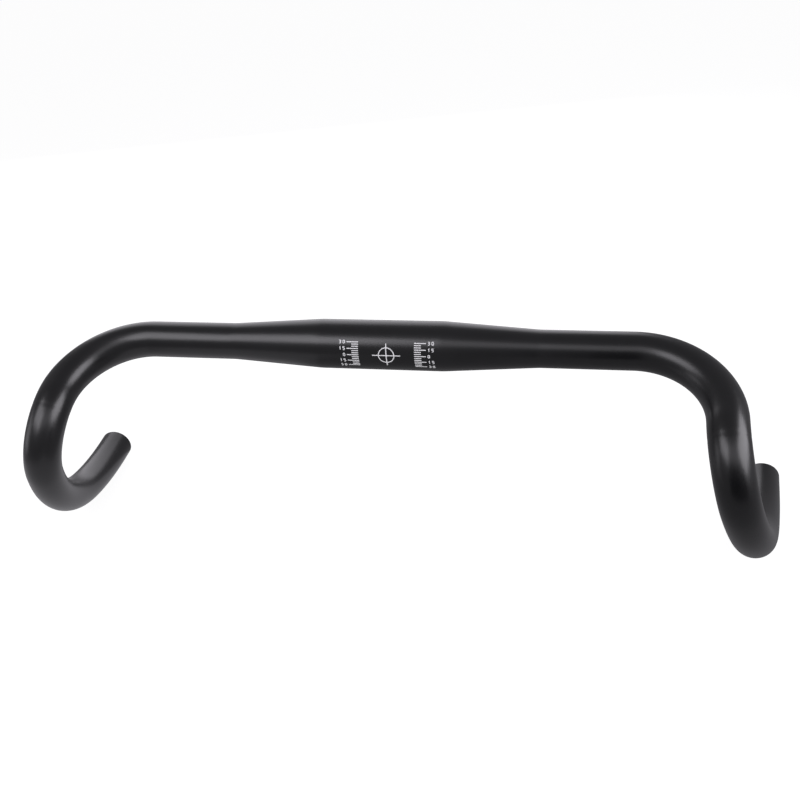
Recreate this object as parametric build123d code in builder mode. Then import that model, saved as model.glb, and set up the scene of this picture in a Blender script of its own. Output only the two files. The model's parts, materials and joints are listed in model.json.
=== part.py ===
import os
from math import cos, radians, sin

from build123d import *

# Drop handlebar, in millimetres. The origin is the middle of the clamp zone, +X runs along the tops,
# -Y is the direction of travel and +Z is up. The two halves mirror each other about the YZ plane.

# The tube: thick in the clamp zone, swaged down through a taper on each side, then one size to the ends.
CLAMP_RADIUS = 15.9
CLAMP_WALL = 2.4
CLAMP_HALF = 40.0
TUBE_RADIUS = 11.9
TUBE_WALL = 1.8
TAPER_END = 100.0
END_CHAMFER = 0.4

# The centre line of one half: the tops run straight out from the middle, and then come four bends and a
# short straight end. A bend has its radius, its angle, and how far its plane is first turned about the tube.
TOPS_HALF = 157.0
FALL = 21.0  # the shoulder bends forward along this downward slope
FLARE = 16.0  # hook and drop lean outwards by this angle
SHOULDER = (53.0, 90.0, 0.0)
HOOK = (36.5, 93.0, 90.0 + FLARE)
FOOT = (107.0, 53.0, 0.0)
DROP = (200.0, 17.0, 0.0)
STRAIGHT_END = 8.0

# Setting-up marks on the front of the clamp zone, which are films of ink that lie on the tube: a ringed
# cross in the middle, and on each side of it a scale of the bar's angle in the stem.
INK = 0.05
LIFT = 1.0  # a mark is cut from the film by a shape this far to each side of it
PRINT_SHIFT = 5.7  # the print sits this far to the right of the tube's middle
TARGET_STROKE = 0.6
RING_RADIUS = 5.0
CROSS_HALF_WIDTH = 9.1
CROSS_HALF_HEIGHT = 7.4
SCALE_START = 18.0
SHORT_TICK = 4.4
LONG_TICK = 7.5
TICK_WIDTH = 0.6
TICK_STEP = 5
SCALE_LIMIT = 30
NUMBER_STEP = 15
NUMBER_GAP = 0.6
DIGIT_WIDTH = 1.1
DIGIT_HEIGHT = 1.9
DIGIT_STROKE = 0.45
DIGIT_PITCH = 2.5

SIDES = {"left": -1, "right": 1}

os.makedirs("parts", exist_ok=True)


def front_plane(angle, x=0.0, height=0.0):
    """A plane that faces out of the tube's front, the given angle above it, height from the tube's axis."""
    outward = Vector(0, -cos(radians(angle)), sin(radians(angle)))
    return Plane(Vector(x, 0, 0) + outward * height, x_dir=(1, 0, 0), z_dir=outward)


def draw_digit(digit):
    """Draw a digit about the middle of the current sketch, as a stroke of even width."""
    right, top = DIGIT_WIDTH / 2, DIGIT_HEIGHT / 2
    with BuildLine() as stroke:
        if digit == "0":
            turn = top - right
            CenterArc((0, turn), right, 0, 180)
            CenterArc((0, -turn), right, 180, 180)
            Line((-right, turn), (-right, -turn))
            Line((right, turn), (right, -turn))
        elif digit == "1":
            Polyline((-right / 2, top / 2), (right / 3, top), (right / 3, -top))
        elif digit == "3":
            bowl = top / 2
            Line((-right, top), (right - bowl, top))
            CenterArc((right - bowl, bowl), bowl, -90, 180)
            CenterArc((right - bowl, -bowl), bowl, -90, 180)
            Line((right - bowl, -top), (-right, -top))
            Line((-right / 3, 0), (right - bowl, 0))
        elif digit == "5":
            waist = top / 5
            bowl = (waist + top) / 2
            Polyline((right, top), (-right, top), (-right, waist), (right - bowl, waist))
            CenterArc((right - bowl, waist - bowl), bowl, -90, 180)
            Line((right - bowl, -top), (-right, -top))
    trace(stroke.line, line_width=DIGIT_STROKE)


# ---------------------------------------------------------------- bar tube
def centre_line(side_sign):
    """The edges of one side's centre line, from the end of the tops to the end of the drop."""
    edges = []
    start, tangent = Vector(side_sign * TOPS_HALF, 0, 0), Vector(side_sign, 0, 0)
    bend_axis = Vector(0, sin(radians(FALL)), -cos(radians(FALL))) * side_sign
    for radius, angle, turn in (SHOULDER, HOOK, FOOT, DROP):
        bend_axis = bend_axis.rotate(Axis((0, 0, 0), tangent), side_sign * turn)
        with BuildLine(Plane(start, x_dir=tangent, z_dir=bend_axis)) as bend:
            arc = JernArc((0, 0), (1, 0), radius, angle)
        edges.append(bend.edge())
        start, tangent = arc @ 1, arc % 1
    with BuildLine() as straight_end:
        Line(start, start + tangent * STRAIGHT_END)
    edges.append(straight_end.edge())
    return edges


with BuildPart() as bar_tube:
    with BuildSketch(Plane.XZ):
        Polygon(
            (-TOPS_HALF, TUBE_RADIUS), (-TAPER_END, TUBE_RADIUS), (-CLAMP_HALF, CLAMP_RADIUS),
            (CLAMP_HALF, CLAMP_RADIUS), (TAPER_END, TUBE_RADIUS), (TOPS_HALF, TUBE_RADIUS),
            (TOPS_HALF, TUBE_RADIUS - TUBE_WALL), (TAPER_END, TUBE_RADIUS - TUBE_WALL),
            (CLAMP_HALF, CLAMP_RADIUS - CLAMP_WALL), (-CLAMP_HALF, CLAMP_RADIUS - CLAMP_WALL),
            (-TAPER_END, TUBE_RADIUS - TUBE_WALL), (-TOPS_HALF, TUBE_RADIUS - TUBE_WALL),
            align=None)
    revolve(axis=Axis.X)
    for side_sign in SIDES.values():
        with BuildSketch(Plane.YZ.offset(side_sign * TOPS_HALF)):
            Circle(TUBE_RADIUS)
            Circle(TUBE_RADIUS - TUBE_WALL, mode=Mode.SUBTRACT)
        sweep(path=centre_line(side_sign))
    end_faces = bar_tube.faces().filter_by(GeomType.PLANE)
    chamfer([face.outer_wire().edge() for face in end_faces], END_CHAMFER)
bar_tube.part.label = "bar_tube"
export_step(bar_tube.part, "parts/bar_tube.step")


# ---------------------------------------------------------------- the film that the marks are cut from
with BuildPart() as ink_film:
    with BuildSketch(Plane.YZ):
        Circle(CLAMP_RADIUS + INK)
        Circle(CLAMP_RADIUS, mode=Mode.SUBTRACT)
    extrude(amount=CLAMP_HALF, both=True)


# ---------------------------------------------------------------- centre target
with BuildPart() as target_ring:
    with BuildSketch(front_plane(0, PRINT_SHIFT)):
        Circle(RING_RADIUS + TARGET_STROKE / 2)
        Circle(RING_RADIUS - TARGET_STROKE / 2, mode=Mode.SUBTRACT)
        Rectangle(2 * CROSS_HALF_WIDTH, TARGET_STROKE, mode=Mode.SUBTRACT)
        Rectangle(TARGET_STROKE, 2 * CROSS_HALF_HEIGHT, mode=Mode.SUBTRACT)
    extrude(amount=2 * CLAMP_RADIUS)
    add(ink_film.part, mode=Mode.INTERSECT)
target_ring.part.label = "target_ring"
export_step(target_ring.part, "parts/target_ring.step")

with BuildPart() as target_cross:
    with BuildSketch(front_plane(0, PRINT_SHIFT)):
        Rectangle(2 * CROSS_HALF_WIDTH, TARGET_STROKE)
        Rectangle(TARGET_STROKE, 2 * CROSS_HALF_HEIGHT)
    extrude(amount=2 * CLAMP_RADIUS)
    add(ink_film.part, mode=Mode.INTERSECT)
target_cross.part.label = "target_cross"
export_step(target_cross.part, "parts/target_cross.step")


# ---------------------------------------------------------------- angle scales
for side_name, side_sign in SIDES.items():
    with BuildPart() as scale_ticks:
        for angle in range(-SCALE_LIMIT, SCALE_LIMIT + 1, TICK_STEP):
            length = SHORT_TICK if angle % NUMBER_STEP else LONG_TICK
            middle = PRINT_SHIFT + side_sign * (SCALE_START + length / 2)
            with BuildSketch(front_plane(angle, middle, CLAMP_RADIUS - LIFT)):
                Rectangle(length, TICK_WIDTH)
            extrude(amount=2 * LIFT)
        add(ink_film.part, mode=Mode.INTERSECT)
    scale_ticks.part.label = f"{side_name}_scale_ticks"
    export_step(scale_ticks.part, f"parts/{scale_ticks.part.label}.step")

    with BuildPart() as scale_numbers:
        for angle in range(-SCALE_LIMIT, SCALE_LIMIT + 1, NUMBER_STEP):
            number = str(abs(angle))
            inner = side_sign * (SCALE_START + LONG_TICK + NUMBER_GAP + DIGIT_PITCH / 2)
            nearest = PRINT_SHIFT + inner
            first = nearest - (len(number) - 1) * DIGIT_PITCH if side_sign < 0 else nearest
            for place, digit in enumerate(number):
                with BuildSketch(front_plane(angle, first + place * DIGIT_PITCH, CLAMP_RADIUS - LIFT)):
                    draw_digit(digit)
                extrude(amount=2 * LIFT)
        add(ink_film.part, mode=Mode.INTERSECT)
    scale_numbers.part.label = f"{side_name}_scale_numbers"
    export_step(scale_numbers.part, f"parts/{scale_numbers.part.label}.step")
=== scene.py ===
import json

import bpy
import numpy as np
from bpy.props import FloatProperty, FloatVectorProperty, IntProperty, PointerProperty
from bpy.types import Operator, Panel, PropertyGroup
from mathutils import Matrix, Vector

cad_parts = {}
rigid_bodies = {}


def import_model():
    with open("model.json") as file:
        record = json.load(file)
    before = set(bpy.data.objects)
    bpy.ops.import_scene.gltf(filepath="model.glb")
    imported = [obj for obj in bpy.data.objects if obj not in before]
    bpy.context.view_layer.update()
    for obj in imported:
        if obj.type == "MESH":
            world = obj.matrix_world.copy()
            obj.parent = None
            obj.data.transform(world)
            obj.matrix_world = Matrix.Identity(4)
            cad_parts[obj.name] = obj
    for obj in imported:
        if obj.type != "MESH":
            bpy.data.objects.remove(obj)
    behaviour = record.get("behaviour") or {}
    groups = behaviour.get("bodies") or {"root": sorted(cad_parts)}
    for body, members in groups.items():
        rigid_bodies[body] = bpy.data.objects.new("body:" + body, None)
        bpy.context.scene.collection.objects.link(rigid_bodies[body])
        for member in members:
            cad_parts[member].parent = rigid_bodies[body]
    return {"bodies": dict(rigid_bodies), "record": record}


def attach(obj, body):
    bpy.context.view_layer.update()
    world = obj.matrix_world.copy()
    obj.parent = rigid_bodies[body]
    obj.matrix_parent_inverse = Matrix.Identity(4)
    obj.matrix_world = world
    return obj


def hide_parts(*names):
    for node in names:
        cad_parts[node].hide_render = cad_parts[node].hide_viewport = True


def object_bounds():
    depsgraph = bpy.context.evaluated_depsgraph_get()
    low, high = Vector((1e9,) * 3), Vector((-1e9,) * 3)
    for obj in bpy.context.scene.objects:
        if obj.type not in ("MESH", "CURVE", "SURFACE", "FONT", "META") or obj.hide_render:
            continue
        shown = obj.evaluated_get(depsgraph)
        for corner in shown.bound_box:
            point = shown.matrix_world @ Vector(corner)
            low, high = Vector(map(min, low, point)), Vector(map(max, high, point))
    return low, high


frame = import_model()

bl_info = {
    "name": "Drop Handlebar",
    "version": (1, 0, 0),
    "blender": (4, 5, 0),
    "location": "3D View > Sidebar > Handlebar",
    "description": "Builds a satin black drop handlebar with printed setting-up marks on its packed model",
    "category": "Add Mesh",
}

MM = 0.001
WHITE = (1.0, 1.0, 1.0)
CAD_BOX = [list(corner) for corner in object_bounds()]
BODY = next(iter(frame["bodies"]))
MOUNTS = {mount["name"]: mount for mount in frame["record"]["mounts"]}
CLAMP = MOUNTS["stem_clamp"]["dims"]
TOP = MOUNTS["right_top"]["dims"]
BAR_END = MOUNTS["right_bar_end"]["dims"]


def length(name, millimetres, description):
    """A length property whose default is given in millimetres."""
    return FloatProperty(name=name, description=description, default=millimetres * MM,
                         unit="LENGTH", subtype="DISTANCE")


def angle(name, degrees, description):
    """An angle property whose default is given in degrees."""
    return FloatProperty(name=name, description=description, default=float(np.radians(degrees)),
                         unit="ROTATION", subtype="ANGLE")


def count(name, value, least, description):
    """A whole number property with its least value."""
    return IntProperty(name=name, description=description, default=value, min=least)


def colour(name, value, description):
    """A colour property in scene-linear red, green and blue."""
    return FloatVectorProperty(name=name, description=description, default=value, size=3,
                               min=0.0, max=1.0, subtype="COLOR")


def point(name, millimetres, description):
    """A point whose default is given in millimetres."""
    return FloatVectorProperty(name=name, description=description, size=3, subtype="TRANSLATION",
                               unit="LENGTH", default=[value * MM for value in millimetres])


class TubeSizes(PropertyGroup):
    clamp_radius: length("Clamp radius", CLAMP["r_mm"], "Outer radius of the zone that the stem holds")
    clamp_half: length("Clamp half length", CLAMP["length_mm"] / 2,
                       "Middle of the bar to the start of a taper")
    clamp_wall: length("Clamp wall", 2.4, "Wall thickness in the clamp zone")
    tube_radius: length("Tube radius", TOP["r_mm"], "Outer radius from the tapers to the ends")
    tube_wall: length("Tube wall", TOP["r_mm"] - BAR_END["r_mm"],
                      "Wall thickness from the tapers to the ends")
    taper_end: length("Taper end", 100.0, "Middle of the bar to the thin end of a taper")
    taper_blend: length("Taper blend", 2.0, "Half the length over which a taper's slope sets in or dies out")
    tops_half: length("Tops half length", 157.0, "Middle of the bar to the start of a shoulder bend")
    fall: angle("Fall", 21.0, "Downward slope of the plane that the shoulders bend in")
    flare: angle("Flare", 16.0, "Outward lean of hooks and drops")
    shoulder_radius: length("Shoulder radius", 53.0, "Bend radius of the shoulder's centre line")
    shoulder_turn: angle("Shoulder turn", 90.0, "How far the shoulder bends")
    hook_radius: length("Hook radius", 36.5, "Bend radius of the hook's centre line")
    hook_turn: angle("Hook turn", 93.0, "How far the hook bends")
    foot_radius: length("Foot radius", 107.0, "Bend radius of the lower curve")
    foot_turn: angle("Foot turn", 53.0, "How far the lower curve bends")
    drop_radius: length("Drop radius", 200.0, "Bend radius of the drop")
    drop_turn: angle("Drop turn", 17.0, "How far the drop bends")
    straight_end: length("Straight end", 8.0, "Straight tube at each end")
    outer_lip: length("Outer lip", 0.4, "Rounding of each end's outer edge")
    inner_lip: length("Inner lip", 0.25, "Rounding of each end's inner edge")
    bare_depth: length("Bare depth", 16.0, "Depth in the bore by which the coating has given way to metal")
    ring_place: length("Bending ring place", 252.0,
                       "Distance along the tube to the faint ring that bending leaves")
    ring_step: length("Bending ring step", 0.05, "Change of radius at the bending ring")
    ring_width: length("Bending ring width", 1.2, "Length over which the bending ring's step is made")
    spacing: length("Ring spacing", 2.0, "Longest distance between two rings of the mesh")
    around: count("Around", 96, 12, "Points in a ring of the mesh")


class MarkSizes(PropertyGroup):
    shift: length("Print shift", 5.7, "How far the print sits to the right of the tube's middle")
    film: length("Film", 0.05, "Thickness of the ink")
    bite: length("Bite", 0.02, "How far the ink's underside reaches into the tube")
    stroke: length("Target stroke", 0.6, "Width of the ring's and the cross's lines")
    ring_radius: length("Target ring radius", 5.0, "Radius of the ring's line")
    cross_half_width: length("Cross half width", 9.1, "Middle of the cross to its sides")
    cross_half_height: length("Cross half height", 7.4, "Middle of the cross to its top and foot")
    scale_start: length("Scale start", 18.0, "Middle of the print to the inner ends of the ticks")
    short_tick: length("Short tick", 4.4, "Length of a plain tick")
    long_tick: length("Long tick", 7.5, "Length of a numbered tick")
    tick_width: length("Tick width", 0.6, "Width of a tick's line")
    tick_step: count("Tick step", 5, 1, "Degrees from one tick to the next")
    number_step: count("Number step", 15, 1, "Degrees from one number to the next")
    scale_limit: count("Scale limit", 30, 1, "Degrees to the last tick each way")
    number_gap: length("Number gap", 0.6, "Space between a long tick and its number")
    digit_width: length("Digit width", 1.1, "Width of a digit's line, middle to middle")
    digit_height: length("Digit height", 1.9, "Height of a digit's line, middle to middle")
    digit_stroke: length("Digit stroke", 0.45, "Width of a digit's line")
    digit_pitch: length("Digit pitch", 2.5, "Distance from one digit to the next")


class Finishes(PropertyGroup):
    coating: colour("Coating", (0.0022, 0.0022, 0.0026), "Satin black coating of the tube")
    coating_roughness: FloatProperty(name="Coating roughness", description="Middle roughness of the coating",
                                     default=0.30, min=0.0, max=1.0, subtype="FACTOR")
    metal: colour("Bare metal", (0.42, 0.42, 0.43), "Uncoated aluminium inside the tube")
    ink: colour("Ink", (0.60, 0.60, 0.61), "Printed marks")
    ink_roughness: FloatProperty(name="Ink roughness", description="Middle roughness of the ink",
                                 default=0.5, min=0.0, max=1.0, subtype="FACTOR")


class StageSettings(PropertyGroup):
    camera_at: point("Camera", (147.9, -552.9, 257.4), "Where the camera stands")
    camera_aim: point("Aim", (6.4, 0.0, -68.9), "The point that the camera looks at")
    camera_roll: angle("Roll", -4.57, "Turn of the camera about its line of sight")
    lens: FloatProperty(name="Lens", description="Focal length on a sensor 36 mm wide, in millimetres",
                        default=43.72)
    lens_rise: FloatProperty(name="Lens rise", description="Shift of the lens upwards, in picture widths",
                             default=0.0475)
    floor: colour("Floor", (0.12, 0.12, 0.121), "Colour of the floor")
    floor_glow: FloatProperty(name="Floor glow", default=0.92, min=0.0,
                              description="Light that the floor gives off, which keeps it pale")
    brightness: FloatProperty(name="Brightness", description="Strength of all the soft lights together",
                              default=1.0, min=0.0)
    surround: FloatProperty(name="Surround", description="Strength of the even light from all sides",
                            default=0.29, min=0.0)


# ---------------------------------------------------------------- shader expressions
class Wire:
    """A node's output. Sums, differences and products of wires and numbers add Math nodes."""

    def __init__(self, shader, socket):
        self.shader, self.socket = shader, socket

    def maths(self, operation, first, second):
        return self.shader.node("ShaderNodeMath", {"operation": operation}, {0: first, 1: second})

    def __add__(self, other):
        return self.maths("ADD", self, other)

    def __sub__(self, other):
        return self.maths("SUBTRACT", self, other)

    def __mul__(self, other):
        return self.maths("MULTIPLY", self, other)

    def __rsub__(self, other):
        return self.maths("SUBTRACT", other, self)

    __radd__ = __add__
    __rmul__ = __mul__


class Shader:
    """A node tree that is written as expressions."""

    def __init__(self, owner):
        owner.use_nodes = True
        self.tree = owner.node_tree
        self.tree.nodes.clear()

    def node(self, kind, settings=None, inputs=None, output=0):
        """Add a node: its settings first, then a value or a wire for each of its sockets."""
        made = self.tree.nodes.new(kind)
        for name, value in (settings or {}).items():
            setattr(made, name, value)
        for name, value in (inputs or {}).items():
            if isinstance(value, Wire):
                self.tree.links.new(value.socket, made.inputs[name])
            else:
                made.inputs[name].default_value = value
        return Wire(self, made.outputs[output]) if made.outputs else None

    def place(self):
        """The piece's own coordinates, in metres."""
        return self.node("ShaderNodeTexCoord", output="Object")

    def noise(self, where, size, detail=2.0, roughness=0.5):
        """Soft noise from 0 to 1 whose blotches are about this many metres across."""
        return self.node("ShaderNodeTexNoise", None,
                         {"Vector": where, "Scale": 1.0 / size, "Detail": detail, "Roughness": roughness})

    def fade(self, value, low, high):
        """0 below low, 1 above high and a smooth step between them."""
        return self.node("ShaderNodeMapRange", {"interpolation_type": "SMOOTHSTEP"},
                         {"Value": value, "From Min": low, "From Max": high})

    def blend(self, share, first, second):
        """The first colour where share is 0 and the second where it is 1. A colour is a wire or 3 numbers."""
        first, second = (one if isinstance(one, Wire) else (*one, 1.0) for one in (first, second))
        return self.node("ShaderNodeMix", {"data_type": "RGBA"}, {0: share, 6: first, 7: second}, output=2)

    def relief(self, height, strength, distance):
        """A bumped surface direction, where a height of 1 stands the distance proud."""
        return self.node("ShaderNodeBump", None,
                         {"Strength": strength, "Distance": distance, "Height": height})

    def finish(self, **sockets):
        """The surface, with spaces in its sockets' names written as underscores."""
        surface = self.node("ShaderNodeBsdfPrincipled", None,
                            {name.replace("_", " "): value for name, value in sockets.items()})
        self.node("ShaderNodeOutputMaterial", None, {"Surface": surface})


def satin_coating(finishes):
    """Satin black coating with a fine grain, slightly uneven gloss and bare metal deep in the bore."""
    material = bpy.data.materials.new("satin_coating")
    s = Shader(material)
    where = s.place()
    grain = s.noise(where, 0.5 * MM, detail=3.0)
    cloud = s.noise(where, 30 * MM)
    smear = s.noise(where, 6 * MM, detail=4.0, roughness=0.6)
    depth = s.node("ShaderNodeAttribute", {"attribute_name": "bore"}, output="Fac")
    ragged = (smear - 0.5) * 0.25
    bare = s.fade(depth + ragged, 0.35, 0.65)
    base = tuple(finishes.coating)
    dull = tuple(1.35 * value for value in base)
    coat = s.blend(s.fade(cloud * 0.6 + smear * 0.4, 0.35, 0.65), base, dull)
    metal = tuple(finishes.metal)
    tarnish = tuple(0.6 * value for value in metal)
    inside = s.blend(s.fade(smear, 0.3, 0.7), metal, tarnish)
    tint = s.blend(bare, coat, inside)
    gloss = finishes.coating_roughness + (cloud - 0.5) * 0.06 + (grain - 0.5) * 0.08
    relief = s.relief(grain + smear * 0.5, 0.25, 0.02 * MM)
    s.finish(Base_Color=tint, Metallic=bare, Roughness=gloss, Normal=relief)
    return material


def printed_ink(finishes):
    """Light screen-printed ink, a little uneven in cover."""
    material = bpy.data.materials.new("printed_ink")
    s = Shader(material)
    where = s.place()
    speck = s.noise(where, 0.25 * MM, detail=3.0)
    cover = s.noise(where, 1.5 * MM)
    ink = tuple(finishes.ink)
    thin = tuple(0.78 * value for value in ink)
    tint = s.blend(s.fade(speck * 0.5 + cover * 0.5, 0.4, 0.62), thin, ink)
    relief = s.relief(speck, 0.3, 0.01 * MM)
    s.finish(Base_Color=tint, Roughness=finishes.ink_roughness + (speck - 0.5) * 0.15, Normal=relief)
    return material


# ---------------------------------------------------------------- surfaces
def build_piece(name, points, quads, material, smooth, values=None):
    """Make one mesh in the frame from an array of points in metres and an array of quads."""
    mesh = bpy.data.meshes.new(name)
    mesh.vertices.add(len(points))
    mesh.vertices.foreach_set("co", np.asarray(points, np.float32).ravel())
    mesh.loops.add(quads.size)
    mesh.loops.foreach_set("vertex_index", quads.astype(np.int32).ravel())
    mesh.polygons.add(len(quads))
    mesh.polygons.foreach_set("loop_start", np.arange(0, quads.size, 4, dtype=np.int32))
    mesh.polygons.foreach_set("use_smooth", np.full(len(quads), smooth))
    mesh.update(calc_edges=True)
    if mesh.validate():
        raise RuntimeError(f"{name} has faulty faces")
    for attribute, data in (values or {}).items():
        made = mesh.attributes.new(attribute, "FLOAT", "POINT")
        made.data.foreach_set("value", np.asarray(data, np.float32))
    mesh.materials.append(material)
    piece = bpy.data.objects.new(name, mesh)
    bpy.context.scene.collection.objects.link(piece)
    return piece


def grid_quads(rows, columns, closed):
    """Quads between neighbouring rows of a grid whose columns close on themselves, and whose rows may."""
    row = np.arange(rows if closed else rows - 1)[:, None]
    column = np.arange(columns)[None, :]
    after, beside = (row + 1) % rows, (column + 1) % columns
    corners = [row * columns + column, after * columns + column,
               after * columns + beside, row * columns + beside]
    return np.stack([np.broadcast_to(c, (len(row), columns)) for c in corners], axis=-1).reshape(-1, 4)


def turned(vector, axis, turns):
    """A vector turned about a unit axis by each angle: v cos t + (a x v) sin t + a (a . v)(1 - cos t)."""
    c, s = np.cos(turns)[:, None], np.sin(turns)[:, None]
    return vector * c + np.cross(axis, vector) * s + axis * (axis @ vector) * (1 - c)


def centre_line(sizes, distance):
    """The tube's centre and its front and up directions at each signed distance from the middle.

    The tops run straight. A bend of radius R about the unit axis a goes from its start p, along t, to
    p + R (sin u t + (1 - cos u) (a x t)) after turning by u, and it turns the front and up directions too.
    The left half is the right one with x reversed.
    """
    along = np.abs(distance)
    centre = np.stack([along, np.zeros_like(along), np.zeros_like(along)], axis=-1)
    front = np.tile([0.0, -1.0, 0.0], (len(along), 1))
    up = np.tile([0.0, 0.0, 1.0], (len(along), 1))
    start, reached = np.array([sizes.tops_half, 0.0, 0.0]), sizes.tops_half
    t, f, u = np.eye(3) * [[1], [-1], [1]]
    axis = np.array([0.0, np.sin(sizes.fall), -np.cos(sizes.fall)])
    bends = [(sizes.shoulder_radius, sizes.shoulder_turn, 0.0),
             (sizes.hook_radius, sizes.hook_turn, np.pi / 2 + sizes.flare),
             (sizes.foot_radius, sizes.foot_turn, 0.0),
             (sizes.drop_radius, sizes.drop_turn, 0.0)]
    for radius, turn, twist in bends:
        axis = turned(axis, t, np.array([twist]))[0]
        inward = np.cross(axis, t)
        here = along > reached
        turns = (along[here] - reached) / radius
        centre[here] = start + radius * (np.sin(turns)[:, None] * t + (1 - np.cos(turns))[:, None] * inward)
        front[here], up[here] = turned(f, axis, turns), turned(u, axis, turns)
        last = np.array([turn])
        start = start + radius * (np.sin(turn) * t + (1 - np.cos(turn)) * inward)
        t, f, u = (turned(v, axis, last)[0] for v in (t, f, u))
        reached += radius * turn
    here = along > reached
    centre[here] = start + (along[here] - reached)[:, None] * t
    front[here], up[here] = f, u
    side = np.where(distance < 0, -1.0, 1.0)[:, None] * [1, 0, 0] + [0, 1, 1]
    return centre * side, front * side, up * side


def half_length(sizes):
    """Length of the centre line from the middle to an end."""
    return (sizes.tops_half + sizes.shoulder_radius * sizes.shoulder_turn
            + sizes.hook_radius * sizes.hook_turn + sizes.foot_radius * sizes.foot_turn
            + sizes.drop_radius * sizes.drop_turn + sizes.straight_end)


def eased(value, width):
    """0 below -width, the value above width, and the parabola (value + width)^2 / (4 width) between them."""
    return np.where(value > width, value, np.clip(value + width, 0, None) ** 2 / (4 * width))


# Rows of the tube's mesh: across each change of slope, to each side of a bending ring, round each lip, and in
# the bore near each end. Elsewhere the bore's rows are this many times further apart than the skin's.
KNEE_ROWS = 9
RING_ROWS = 8
LIP_ROWS = 5
END_ROWS = 8
BORE_COARSER = 3


def tube_surface(sizes):
    """Points of the tube's skin as rings around its centre line: outside, end lip, bore, end lip.

    A point is centre + r (cos v front + sin v up), where r follows the tapers: full size, less the slope
    times an eased ramp from each end of the taper. The bending ring takes off its step times
    exp(-(distance / width)^2). The lips are quarter circles. Each point also gets its depth in the bore, from
    0 at the end to 1 at the bare depth.
    """
    end = half_length(sizes)
    slope = (sizes.clamp_radius - sizes.tube_radius) / (sizes.taper_end - sizes.clamp_half)
    bore_clamp = sizes.clamp_radius - sizes.clamp_wall
    bore_tube = sizes.tube_radius - sizes.tube_wall
    bore_slope = (bore_clamp - bore_tube) / (sizes.taper_end - sizes.clamp_half)

    def tapered(distance, size, rate):
        along = np.abs(distance)
        ramps = [eased(along - knee, sizes.taper_blend) for knee in (sizes.clamp_half, sizes.taper_end)]
        return size - rate * (ramps[0] - ramps[1])

    knee = np.linspace(-2, 2, KNEE_ROWS) * sizes.taper_blend
    knees = np.concatenate([sizes.clamp_half + knee, sizes.taper_end + knee])
    near_ring = sizes.ring_place + np.arange(-RING_ROWS, RING_ROWS + 1) * sizes.ring_width / 4
    skin_half = np.unique(np.concatenate([
        np.arange(sizes.spacing, end - 2 * sizes.outer_lip, sizes.spacing), knees, near_ring,
        [end - 2 * sizes.outer_lip, end - sizes.outer_lip]]).round(7))
    outer = np.concatenate([-skin_half[::-1], [0.0], skin_half])
    ring = sizes.ring_step * np.exp(-((np.abs(outer) - sizes.ring_place) / sizes.ring_width) ** 2)
    outer_radius = tapered(outer, sizes.clamp_radius, slope) - ring

    turns = np.linspace(0, np.pi / 2, LIP_ROWS + 1)[1:]
    lip = end - sizes.outer_lip * (1 - np.sin(turns))
    lip_radius = sizes.tube_radius - sizes.outer_lip * (1 - np.cos(turns))
    inner = end - sizes.inner_lip * (1 - np.cos(turns))
    inner_radius = bore_tube + sizes.inner_lip * (1 - np.sin(turns))
    mouth = bore_tube + sizes.inner_lip

    coarse = BORE_COARSER * sizes.spacing
    near_end = np.arange(1, END_ROWS + 1) * sizes.spacing / 2
    bore_half = np.unique(np.concatenate([
        np.arange(coarse, end - near_end[-1], coarse), end - near_end, knees,
        [end - 3 * sizes.inner_lip]]).round(7))
    bore = np.concatenate([bore_half[::-1], [0.0], -bore_half])

    distance = np.concatenate([outer, lip, [end], inner, bore, -inner[::-1], [-end], -lip[::-1]])
    radius = np.concatenate([outer_radius, lip_radius, [mouth], inner_radius,
                             tapered(bore, bore_clamp, bore_slope), inner_radius[::-1], [mouth],
                             lip_radius[::-1]])
    centre, front, up = centre_line(sizes, distance)
    v = np.linspace(0, 2 * np.pi, sizes.around, endpoint=False)[None, :, None]
    points = centre[:, None] + radius[:, None, None] * (np.cos(v) * front[:, None] + np.sin(v) * up[:, None])
    depth = np.zeros_like(distance)
    inside = slice(len(outer) + len(lip) + 1, len(distance) - len(lip) - 1)
    depth[inside] = np.clip((end - np.abs(distance[inside])) / sizes.bare_depth, 0, 1)
    quads = grid_quads(len(distance), sizes.around, True)
    return points.reshape(-1, 3), quads, np.repeat(depth, sizes.around)


def stroke_edges(line, width, closed):
    """The two edges of a stroke of even width along a flat line, mitred where the line turns."""
    ahead = np.roll(line, -1, axis=0) - line
    behind = line - np.roll(line, 1, axis=0)
    if not closed:
        ahead[-1], behind[0] = behind[-1], ahead[0]
    ahead = ahead / np.linalg.norm(ahead, axis=1, keepdims=True)
    behind = behind / np.linalg.norm(behind, axis=1, keepdims=True)
    across = (ahead + behind)[:, ::-1] * [-1, 1]
    across = across / np.linalg.norm(across, axis=1, keepdims=True)
    reach = np.sum(across * (ahead[:, ::-1] * [-1, 1]), axis=1, keepdims=True)
    return line - across * width / 2 / reach, line + across * width / 2 / reach


def ink_film(strokes, radius, marks):
    """Closed films of ink on the tube, one for each stroke.

    A stroke is a flat line (x along the tube, height h), its width, the angle round the tube that its heights
    start from, and whether it closes on itself. A point lands at the angle plus asin(h / radius) round the
    tube, in a layer from just below the skin to the film's top.
    """
    points, quads, made = [], [], 0
    for line, width, around, closed in strokes:
        low, high = stroke_edges(np.asarray(line, float), width, closed)
        section = np.stack([low, low, high, high], axis=1)
        level = np.array([radius - marks.bite, radius + marks.film, radius + marks.film, radius - marks.bite])
        turn = around + np.arcsin(section[..., 1] / radius)
        points.append(np.stack([section[..., 0], -level * np.cos(turn), level * np.sin(turn)], axis=-1))
        faces = grid_quads(len(line), 4, closed)
        if not closed:
            faces = np.concatenate([faces, [[0, 1, 2, 3]], [np.arange(4)[::-1] + 4 * (len(line) - 1)]])
        quads.append(faces + made)
        made += 4 * len(line)
    return np.concatenate([p.reshape(-1, 3) for p in points]), np.concatenate(quads)


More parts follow.
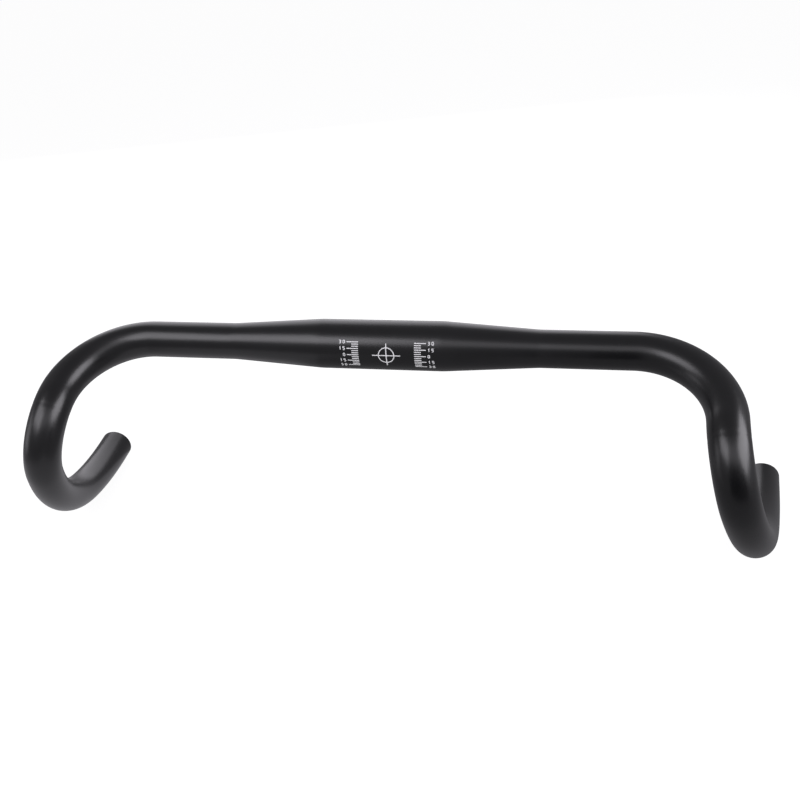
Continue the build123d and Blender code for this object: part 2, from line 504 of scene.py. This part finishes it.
def arc(x, y, radius, start, turn, steps=10):
    """Points of a flat arc about (x, y), from a start angle through a turn, both in degrees."""
    at = np.radians(np.linspace(start, start + turn, steps + 1))
    return np.stack([x + radius * np.cos(at), y + radius * np.sin(at)], axis=-1)


def straight(start, end, steps=1):
    """Points of a flat straight line."""
    return np.linspace(start, end, steps + 1)


def digit_lines(digit, marks):
    """The flat lines of a digit about its middle, each with whether it closes on itself."""
    right, top = marks.digit_width / 2, marks.digit_height / 2
    if digit == "0":
        turn = top - right
        return [(np.concatenate([arc(0, turn, right, 0, 180), arc(0, -turn, right, 180, 180)]), True)]
    if digit == "1":
        return [(np.array([(-right / 2, top / 2), (right / 3, top), (right / 3, -top)]), False)]
    if digit == "3":
        bowl = top / 2
        upper = np.concatenate([[(-right, top)], arc(right - bowl, bowl, bowl, 90, -180)])
        lower = np.concatenate([arc(right - bowl, -bowl, bowl, 90, -180), [(-right, -top)]])
        middle = straight((-right / 3, 0), (right - bowl, 0))
        return [(upper, False), (lower, False), (middle, False)]
    if digit == "5":
        waist = top / 5
        bowl = (waist + top) / 2
        line = [[(right, top), (-right, top), (-right, waist)],
                arc(right - bowl, waist - bowl, bowl, 90, -180), [(-right, -top)]]
        return [(np.concatenate(line), False)]
    raise ValueError(f"no drawing of {digit}")


def ring_strokes(marks):
    """The target's ring as four arcs, parted where the cross runs through it."""
    middle = [marks.shift, 0.0]
    gap = np.degrees(np.arcsin(marks.stroke / 2 / marks.ring_radius))
    return [(arc(0, 0, marks.ring_radius, quarter + gap, 90 - 2 * gap, 16) + middle, marks.stroke, 0.0, False)
            for quarter in (0, 90, 180, 270)]


def cross_strokes(marks):
    """The target's cross: one line across, and one above and one below it."""
    wide, high, half = marks.cross_half_width, marks.cross_half_height, marks.stroke / 2
    lines = [straight((-wide, 0), (wide, 0)), straight((0, half), (0, high), 16),
             straight((0, -high), (0, -half), 16)]
    return [(line + [marks.shift, 0.0], marks.stroke, 0.0, False) for line in lines]


def tick_strokes(side, marks):
    """One side's ticks, long ones at the numbers, each at its own angle round the tube."""
    strokes = []
    for degrees in range(-marks.scale_limit, marks.scale_limit + 1, marks.tick_step):
        reach = marks.short_tick if degrees % marks.number_step else marks.long_tick
        start = side * marks.scale_start + marks.shift
        ends = sorted([start, start + side * reach])
        strokes.append((straight((ends[0], 0), (ends[1], 0)), marks.tick_width, np.radians(degrees), False))
    return strokes


def number_strokes(side, marks):
    """One side's numbers, beside the long ticks and lined up with them."""
    strokes = []
    for degrees in range(-marks.scale_limit, marks.scale_limit + 1, marks.number_step):
        number = str(abs(degrees))
        inner = side * (marks.scale_start + marks.long_tick + marks.number_gap + marks.digit_pitch / 2)
        nearest = marks.shift + inner
        first = nearest - (len(number) - 1) * marks.digit_pitch if side < 0 else nearest
        for order, digit in enumerate(number):
            for line, closed in digit_lines(digit, marks):
                moved = line + [first + order * marks.digit_pitch, 0]
                strokes.append((moved, marks.digit_stroke, np.radians(degrees), closed))
    return strokes


def settle(piece, slot, *nodes):
    """Let a piece ride on the bar's body and stand for its CAD nodes, which are hidden; the slot is not used.
    """
    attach(piece, BODY)
    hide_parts(*nodes)


# ---------------------------------------------------------------- operators
class HANDLEBAR_OT_tube(Operator):
    """Build the bent tube with its tapers, rounded ends, bore and satin black coating"""

    bl_idname = "handlebar.tube"
    bl_label = "Bar Tube"

    def execute(self, context):
        points, quads, depth = tube_surface(context.scene.handlebar_tube)
        coating = satin_coating(context.scene.handlebar_finishes)
        tube = build_piece("tube_shell", points, quads, coating, True, {"bore": depth})
        settle(tube, "tube_finish", "bar_tube")
        return {"FINISHED"}


class HANDLEBAR_OT_target(Operator):
    """Print the ringed cross on the front of the clamp zone"""

    bl_idname = "handlebar.target"
    bl_label = "Centre Target"

    def execute(self, context):
        marks = context.scene.handlebar_marks
        radius = context.scene.handlebar_tube.clamp_radius
        ink = shared_ink(context)
        film = ink_film(ring_strokes(marks), radius, marks)
        settle(build_piece("printed_ring", *film, ink, False), "ink", "target_ring")
        film = ink_film(cross_strokes(marks), radius, marks)
        settle(build_piece("printed_cross", *film, ink, False), "ink", "target_cross")
        return {"FINISHED"}


class HANDLEBAR_OT_ticks(Operator):
    """Print the ticks of the two angle scales"""

    bl_idname = "handlebar.ticks"
    bl_label = "Scale Ticks"

    def execute(self, context):
        marks = context.scene.handlebar_marks
        radius = context.scene.handlebar_tube.clamp_radius
        for name, side in (("left", -1), ("right", 1)):
            film = ink_film(tick_strokes(side, marks), radius, marks)
            piece = build_piece(f"{name}_ticks", *film, shared_ink(context), False)
            settle(piece, "ink", f"{name}_scale_ticks")
        return {"FINISHED"}


class HANDLEBAR_OT_numbers(Operator):
    """Print the numbers of the two angle scales"""

    bl_idname = "handlebar.numbers"
    bl_label = "Scale Numbers"

    def execute(self, context):
        marks = context.scene.handlebar_marks
        radius = context.scene.handlebar_tube.clamp_radius
        for name, side in (("left", -1), ("right", 1)):
            film = ink_film(number_strokes(side, marks), radius, marks)
            piece = build_piece(f"{name}_numbers", *film, shared_ink(context), False)
            settle(piece, "ink", f"{name}_scale_numbers")
        return {"FINISHED"}


def shared_ink(context):
    """The ink material, made once."""
    return bpy.data.materials.get("printed_ink") or printed_ink(context.scene.handlebar_finishes)


# Name, azimuth and elevation in degrees, width and height in metres, and radiance. Azimuth 0 is in front of
# the bar and 90 is to its right.
SOFT_LIGHTS = (("key", -41, 39, 0.90, 0.62, 3.7),
               ("front_fill", 10, 40, 1.68, 0.52, 1.1),
               ("right_side", 80, 27, 1.20, 0.78, 5.5),
               ("left_side", -78, 5, 0.50, 0.50, 1.2),
               ("back_left", -160, 23, 1.27, 1.10, 1.4))
LIGHT_REACH = 1.2
LIGHT_AIM = (0.0, 0.0, -0.04)
LIGHT_TINT = (0.965, 0.945, 1.0)

# A weak light that lies on the floor under the left hook, and a black flag before the right hook that only
# reflections see. The camera sees neither.
CARD_SIDE = 0.35
CARD_UNDER = (-0.28, -0.10, 0.0)
CARD_RADIANCE = 0.35
FLAG_LEFT = 0.11
FLAG_RIGHT = 0.60
FLAG_TOP = 0.10
FLAG_AHEAD = -0.30

FLOOR_HALF = 12.0
MOTTLE_SIZE = 0.4
MOTTLE_SHADE = 0.985


def soft_light(name, azimuth, elevation, wide, high, radiance, aim=LIGHT_AIM, reach=LIGHT_REACH):
    """A rectangular soft light on a sphere about a point, facing it. Power is pi times area and radiance."""
    az, el = np.radians(azimuth), np.radians(elevation)
    back = Vector((np.sin(az) * np.cos(el), -np.cos(az) * np.cos(el), np.sin(el)))
    light = bpy.data.lights.new(name, "AREA")
    light.shape = "RECTANGLE"
    light.size, light.size_y = wide, high
    light.color = LIGHT_TINT
    light.energy = np.pi * wide * high * radiance
    lamp = bpy.data.objects.new(name, light)
    lamp.matrix_world = (Matrix.Translation(Vector(aim) + back * reach)
                         @ (-back).to_track_quat("-Z", "Y").to_matrix().to_4x4())
    lamp.visible_camera = False
    bpy.context.scene.collection.objects.link(lamp)


def pale_floor(stage, low):
    """A wide floor under the bar, slightly mottled, that gives off light of its own."""
    paint = bpy.data.materials.new("pale_floor")
    s = Shader(paint)
    pale = tuple(stage.floor)
    shade = tuple(MOTTLE_SHADE * value for value in pale)
    s.finish(Base_Color=s.blend(s.noise(s.place(), MOTTLE_SIZE), pale, shade), Roughness=0.8,
             Emission_Color=(*WHITE, 1.0), Emission_Strength=stage.floor_glow)
    corners = [(x * FLOOR_HALF, y * FLOOR_HALF, low) for x, y in ((-1, -1), (1, -1), (1, 1), (-1, 1))]
    floor = build_piece("pale_floor", np.array(corners), np.array([[0, 1, 2, 3]]), paint, False)
    floor.visible_glossy = False  # the coating mirrors the even surround instead of the white floor


def black_flag(low):
    """An upright black sheet ahead of the right hook, which only reflections see."""
    black = bpy.data.materials.new("black_flag")
    Shader(black).finish(Base_Color=(0.0, 0.0, 0.0, 1.0), Roughness=1.0)
    corners = [(FLAG_LEFT, FLAG_AHEAD, low), (FLAG_LEFT, FLAG_AHEAD, FLAG_TOP),
               (FLAG_RIGHT, FLAG_AHEAD, FLAG_TOP), (FLAG_RIGHT, FLAG_AHEAD, low)]
    flag = build_piece("black_flag", np.array(corners), np.array([[0, 1, 2, 3]]), black, False)
    flag.visible_camera = flag.visible_shadow = flag.visible_diffuse = False


def studio_world(stage):
    """A world that the camera sees white and that lights the bar with the surround's own strength."""
    world = bpy.data.worlds.new("studio")
    bpy.context.scene.world = world
    s = Shader(world)
    seen = s.node("ShaderNodeLightPath", output="Is Camera Ray")
    strength = seen + (1 - seen) * stage.surround
    tint = s.blend(seen, LIGHT_TINT, WHITE)
    lit = s.node("ShaderNodeBackground", None, {"Color": tint, "Strength": strength})
    s.node("ShaderNodeOutputWorld", None, {"Surface": lit})


def aimed_camera(stage):
    """The camera at its place, turned to its aim and rolled about its line of sight."""
    lens = bpy.data.cameras.new("camera")
    lens.sensor_width, lens.lens, lens.shift_y = 36.0, stage.lens, stage.lens_rise
    lens.clip_start, lens.clip_end = 0.01, 50.0
    camera = bpy.data.objects.new("camera", lens)
    at = Vector(stage.camera_at)
    look = (Vector(stage.camera_aim) - at).to_track_quat("-Z", "Y").to_matrix().to_4x4()
    camera.matrix_world = Matrix.Translation(at) @ look @ Matrix.Rotation(stage.camera_roll, 4, "Z")
    bpy.context.scene.collection.objects.link(camera)
    bpy.context.scene.camera = camera


class HANDLEBAR_OT_stage(Operator):
    """Set up the pale floor, the soft lights and the camera"""

    bl_idname = "handlebar.stage"
    bl_label = "Stage"

    def execute(self, context):
        stage = context.scene.handlebar_stage
        low = CAD_BOX[0][2]
        pale_floor(stage, low)
        studio_world(stage)
        for name, azimuth, elevation, wide, high, radiance in SOFT_LIGHTS:
            soft_light(name, azimuth, elevation, wide, high, radiance * stage.brightness)
        soft_light("left_card", 0, -90, CARD_SIDE, CARD_SIDE, CARD_RADIANCE * stage.brightness,
                   aim=CARD_UNDER, reach=-low)
        black_flag(low)
        aimed_camera(stage)
        context.scene.view_settings.view_transform = "Standard"
        return {"FINISHED"}


class HANDLEBAR_PT_panel(Panel):
    """Lists the handlebar's pieces in the sidebar"""

    bl_idname = "HANDLEBAR_PT_panel"
    bl_label = "Drop Handlebar"
    bl_space_type = "VIEW_3D"
    bl_region_type = "UI"
    bl_category = "Handlebar"

    def draw(self, context):
        for operator in OPERATORS:
            self.layout.operator(operator.bl_idname)
        for group in GROUPS:
            settings = getattr(context.scene, group)
            box = self.layout.box()
            for name in settings.__annotations__:
                box.prop(settings, name)


OPERATORS = (HANDLEBAR_OT_tube, HANDLEBAR_OT_target, HANDLEBAR_OT_ticks, HANDLEBAR_OT_numbers,
             HANDLEBAR_OT_stage)
GROUPS = {"handlebar_tube": TubeSizes, "handlebar_marks": MarkSizes, "handlebar_finishes": Finishes,
          "handlebar_stage": StageSettings}


def register():
    for kind in (*GROUPS.values(), *OPERATORS, HANDLEBAR_PT_panel):
        bpy.utils.register_class(kind)
    for name, group in GROUPS.items():
        setattr(bpy.types.Scene, name, PointerProperty(type=group))


def unregister():
    for name in GROUPS:
        delattr(bpy.types.Scene, name)
    for kind in reversed((*GROUPS.values(), *OPERATORS, HANDLEBAR_PT_panel)):
        bpy.utils.unregister_class(kind)


def main():
    register()
    bpy.ops.handlebar.tube()
    bpy.ops.handlebar.target()
    bpy.ops.handlebar.ticks()
    bpy.ops.handlebar.numbers()
    bpy.ops.handlebar.stage()


if __name__ == "__main__":
    main()
